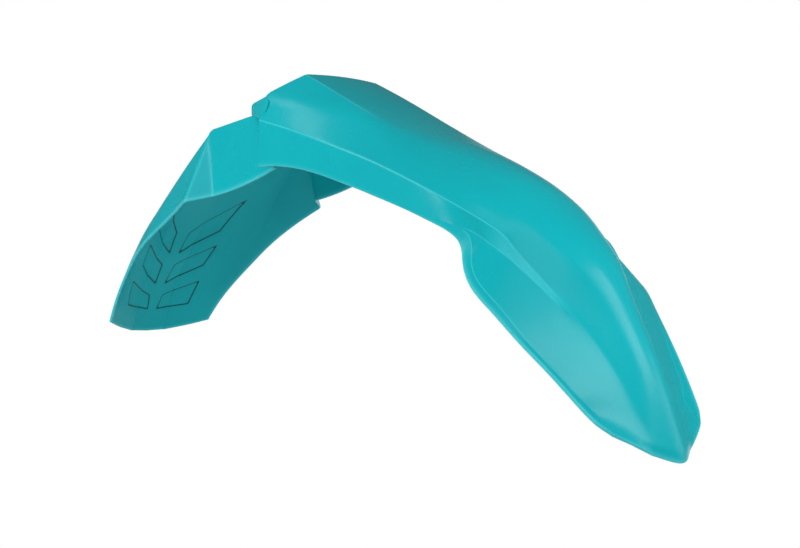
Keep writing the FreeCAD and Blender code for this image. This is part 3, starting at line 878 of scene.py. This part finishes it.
class MUDGUARD_OT_moulding(bpy.types.Operator):
    """Builds the body, nose, neck and flap as one moulding"""

    bl_idname = "mudguard.moulding"
    bl_label = "Moulding"

    def execute(self, context):
        sizes = context.scene.mudguard_sizes
        moulding = Moulding()
        add_body(moulding, sizes)
        add_flap(moulding, sizes)
        add_braces(moulding, sizes)
        mesh = bpy.data.meshes.new("mudguard")
        mesh.from_pydata([tuple(p * MM) for p in moulding.points], [], moulding.faces)
        if mesh.validate():
            raise RuntimeError("the moulding's faces don't fit together")
        for name, values in moulding.marks.items():
            mesh.attributes.new(name, "FLOAT", "POINT").data.foreach_set("value", values)
        mesh.polygons.foreach_set("use_smooth", [True] * len(mesh.polygons))
        mesh.set_sharp_from_angle(angle=math.radians(SHARP_DEGREES))
        mesh.materials.append(moulded_plastic(context.scene.mudguard_finish))
        piece = bpy.data.objects.new("moulding", mesh)
        context.scene.collection.objects.link(piece)
        weighted = piece.modifiers.new("even_shading", "WEIGHTED_NORMAL")
        weighted.mode = "FACE_AREA"
        weighted.keep_sharp = True
        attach(piece, "root")
        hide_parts("mudguard")
        return {"FINISHED"}


# Washer seats: the sizes they follow, points round a seat, and the round of its edges in metres
SEAT_SIZES = ("spacing_x", "spacing_y", "seat_radius", "hole_radius", "seat_height", "platform")
SEAT_STEPS = 48
SEAT_ROUND = 0.0003


def seat_tree(material):
    """Node tree that stands a washer seat at each corner of the bolt pattern."""
    tree = bpy.data.node_groups.new("washer_seats", "GeometryNodeTree")
    for name in SEAT_SIZES:
        tree.interface.new_socket(name, in_out="INPUT", socket_type="NodeSocketFloat")
    tree.interface.new_socket("Geometry", in_out="OUTPUT", socket_type="NodeSocketGeometry")
    given = node(tree, "NodeGroupInput").outputs

    def made(kind, *links):
        return node(tree, "GeometryNode" + kind, links).outputs[0]

    corners = made("MeshGrid", ("Size X", given["spacing_x"]), ("Size Y", given["spacing_y"]),
                   ("Vertices X", 2), ("Vertices Y", 2))
    both = reckoned(tree, "ADD", given["seat_radius"], given["hole_radius"])
    middle = reckoned(tree, "DIVIDE", both, 2.0)
    width = reckoned(tree, "SUBTRACT", given["seat_radius"], given["hole_radius"])
    path = made("CurvePrimitiveCircle", ("Resolution", SEAT_STEPS), ("Radius", middle))
    profile = made("CurvePrimitiveQuadrilateral", ("Width", width), ("Height", given["seat_height"]))
    soft = made("FilletCurve", ("Curve", profile), ("Radius", SEAT_ROUND))
    ring = made("CurveToMesh", ("Curve", path), ("Profile Curve", soft))
    half = reckoned(tree, "DIVIDE", given["seat_height"], -2.0)
    height = reckoned(tree, "SUBTRACT", half, given["platform"])
    lift = node(tree, "ShaderNodeCombineXYZ", (("Z", height),)).outputs[0]
    lowered = made("Transform", ("Geometry", ring), ("Translation", lift))
    placed = made("InstanceOnPoints", ("Points", corners), ("Instance", lowered))
    real = made("RealizeInstances", ("Geometry", placed))
    dressed = made("SetMaterial", ("Geometry", real), ("Material", material))
    node(tree, "NodeGroupOutput", (("Geometry", dressed),))
    return tree


class MUDGUARD_OT_washer_seats(bpy.types.Operator):
    """Stands a round washer seat under each bolt hole of the platform"""

    bl_idname = "mudguard.washer_seats"
    bl_label = "Washer Seats"

    def execute(self, context):
        sizes = context.scene.mudguard_sizes
        carrier = bpy.data.objects.new("seat_carrier", bpy.data.meshes.new("seat_carrier"))
        context.scene.collection.objects.link(carrier)
        modifier = carrier.modifiers.new("washer_seats", "NODES")
        modifier.node_group = seat_tree(bpy.data.materials["moulded_plastic"])
        for item in modifier.node_group.interface.items_tree:
            if item.in_out == "INPUT":
                modifier[item.identifier] = getattr(sizes, item.name)
        graph = context.evaluated_depsgraph_get()
        mesh = bpy.data.meshes.new_from_object(carrier.evaluated_get(graph))
        bpy.data.objects.remove(carrier)
        if not mesh.polygons:
            raise RuntimeError("the washer seats came out empty")
        mesh.polygons.foreach_set("use_smooth", [False] * len(mesh.polygons))
        for name, value in (("inside", 1.0), ("leaf", NO_LEAF)):
            values = [value] * len(mesh.vertices)
            mesh.attributes.new(name, "FLOAT", "POINT").data.foreach_set("value", values)
        piece = bpy.data.objects.new("washer_seats", mesh)
        context.scene.collection.objects.link(piece)
        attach(piece, "root")
        return {"FINISHED"}


def backdrop_white(name, tint, near, shadow):
    """Matt surface that shows as plain white, apart from the part's shadow within the near distance."""
    material = bpy.data.materials.new(name)
    material.use_nodes = True
    tree = material.node_tree
    shader = principled(material)
    shader.inputs["Base Color"].default_value = tint
    shader.inputs["Roughness"].default_value = 0.9
    shader.inputs["Specular IOR Level"].default_value = 0.1
    rays = node(tree, "ShaderNodeLightPath").outputs
    seen = reckoned(tree, "MAXIMUM", rays["Is Camera Ray"], rays["Is Glossy Ray"])
    seen = reckoned(tree, "MAXIMUM", seen, rays["Is Transmission Ray"])
    place = node(tree, "ShaderNodeTexCoord").outputs["Object"]
    away = node(tree, "ShaderNodeVectorMath", ((0, place),), operation="LENGTH").outputs["Value"]
    plain = ramp(tree, away, 1.0 - shadow, 1.0, near, 2 * near)
    white = node(tree, "ShaderNodeEmission", (("Color", tint), ("Strength", 1.0)))
    part = reckoned(tree, "MULTIPLY", seen, plain)
    both = node(tree, "ShaderNodeMixShader", ((0, part), (1, shader.outputs[0]), (2, white.outputs[0])))
    output = next(n for n in tree.nodes if n.type == "OUTPUT_MATERIAL")
    tree.links.new(both.outputs[0], output.inputs["Surface"])
    return material


def stage_sheet(scene, name, corners, material):
    """Flat sheet of the studio through four corners."""
    data = bpy.data.meshes.new(name)
    data.from_pydata(corners, [], [(0, 1, 2, 3)])
    data.materials.append(material)
    sheet = bpy.data.objects.new(name, data)
    scene.collection.objects.link(sheet)


# Soft lights: name, place, point aimed at, width, height, share of the studio's light
SOFT_LIGHTS = (
    ("front_softbox", (0.65, -2.05, 1.15), (0.15, 0.0, -0.10), 3.2, 2.2, 1.0),
    ("nose_softbox", (0.75, 0.085, 0.05), (0.43, -0.06, -0.23), 0.22, 0.22, 0.025),
    ("rear_softbox", (-0.36, -0.567, 0.744), (0.10, -0.077, 0.01), 0.3, 0.3, 0.031),
    ("side_softbox", (0.0, -1.15, 0.42), (-0.05, -0.07, -0.045), 0.2, 0.6, 0.08),
    ("far_softbox", (1.55, 1.15, 0.15), (0.42, 0.03, -0.20), 1.0, 0.8, 0.13),
)
# Camera: direction of its view, and its place
LOOK = Vector((-0.70962, 0.70458, -0.00142)).normalized()
EYE = Vector((1.132, -0.96463, -0.150))
# Floor: half its width, reach of the part's shadow, and how much of the shadow shows
FLOOR_HALF = 6.5
SHADOW_REACH = 0.32
SHADOW_SHARE = 0.5
# Card behind the part: distance from the camera, half its width, and the height of its top
CARD_DISTANCE = 5.5
CARD_HALF = 1.8
CARD_TOP = 1.0


class MUDGUARD_OT_studio(bpy.types.Operator):
    """Sets the floor, the soft light and the camera"""

    bl_idname = "mudguard.studio"
    bl_label = "Studio"

    def execute(self, context):
        scene = context.scene
        studio = scene.mudguard_studio
        self.floor(scene, studio)
        self.lights(scene, studio)
        self.camera(scene, studio)
        scene.view_settings.view_transform = "Standard"
        return {"FINISHED"}

    def floor(self, scene, studio):
        low = studio.floor_height
        white = backdrop_white("studio_floor", studio.backdrop, SHADOW_REACH, SHADOW_SHARE)
        corners = [(x * FLOOR_HALF, y * FLOOR_HALF, low) for x, y in ((-1, -1), (1, -1), (1, 1), (-1, 1))]
        stage_sheet(scene, "studio_floor", corners, white)
        white = backdrop_white("studio_card", studio.backdrop, 0.1, 0.0)
        right = LOOK.cross(Vector((0.0, 0.0, 1.0))).normalized()
        foot = EYE + LOOK * CARD_DISTANCE
        corners = []
        for side, z in ((-1, low), (1, low), (1, CARD_TOP), (-1, CARD_TOP)):
            spot = foot + right * (side * CARD_HALF)
            corners.append((spot.x, spot.y, z))
        stage_sheet(scene, "studio_card", corners, white)

    def lights(self, scene, studio):
        world = bpy.data.worlds.new("studio")
        scene.world = world
        world.use_nodes = True
        background = next(n for n in world.node_tree.nodes if n.type == "BACKGROUND")
        background.inputs["Color"].default_value = studio.backdrop
        background.inputs["Strength"].default_value = studio.room_light
        for name, place, target, width, height, part in SOFT_LIGHTS:
            lamp = bpy.data.lights.new(name, "AREA")
            lamp.shape = "RECTANGLE"
            lamp.size = width
            lamp.size_y = height
            lamp.energy = studio.soft_light * part
            box = bpy.data.objects.new(name, lamp)
            box.location = place
            aim = Vector(target) - box.location
            box.rotation_euler = aim.to_track_quat("-Z", "Y").to_euler()
            scene.collection.objects.link(box)

    def camera(self, scene, studio):
        data = bpy.data.cameras.new("camera")
        data.lens = studio.lens
        data.sensor_width = 36.0
        data.sensor_fit = "HORIZONTAL"
        camera = bpy.data.objects.new("camera", data)
        camera.rotation_euler = LOOK.to_track_quat("-Z", "Y").to_euler()
        camera.location = EYE
        scene.collection.objects.link(camera)
        scene.camera = camera


class MUDGUARD_PT_panel(bpy.types.Panel):
    """Lists the steps that build the mudguard and its studio"""

    bl_label = "Mudguard"
    bl_idname = "MUDGUARD_PT_panel"
    bl_space_type = "VIEW_3D"
    bl_region_type = "UI"
    bl_category = "Mudguard"

    def draw(self, context):
        for operator in OPERATORS:
            self.layout.operator(operator.bl_idname)
        for name in GROUPS:
            settings = getattr(context.scene, name)
            column = self.layout.column(align=True)
            for item in settings.__annotations__:
                column.prop(settings, item)


OPERATORS = (MUDGUARD_OT_moulding, MUDGUARD_OT_washer_seats, MUDGUARD_OT_studio)
GROUPS = {
    "mudguard_sizes": MudguardSizes,
    "mudguard_finish": MudguardFinish,
    "mudguard_studio": MudguardStudio,
}
CLASSES = tuple(GROUPS.values()) + OPERATORS + (MUDGUARD_PT_panel,)


def register():
    for cls in CLASSES:
        bpy.utils.register_class(cls)
    for name, group in GROUPS.items():
        setattr(bpy.types.Scene, name, bpy.props.PointerProperty(type=group))


def unregister():
    for name in GROUPS:
        delattr(bpy.types.Scene, name)
    for cls in reversed(CLASSES):
        bpy.utils.unregister_class(cls)


def main():
    register()
    bpy.ops.mudguard.moulding()
    bpy.ops.mudguard.washer_seats()
    bpy.ops.mudguard.studio()
    bpy.context.view_layer.update()


if __name__ == "__main__":
    main()
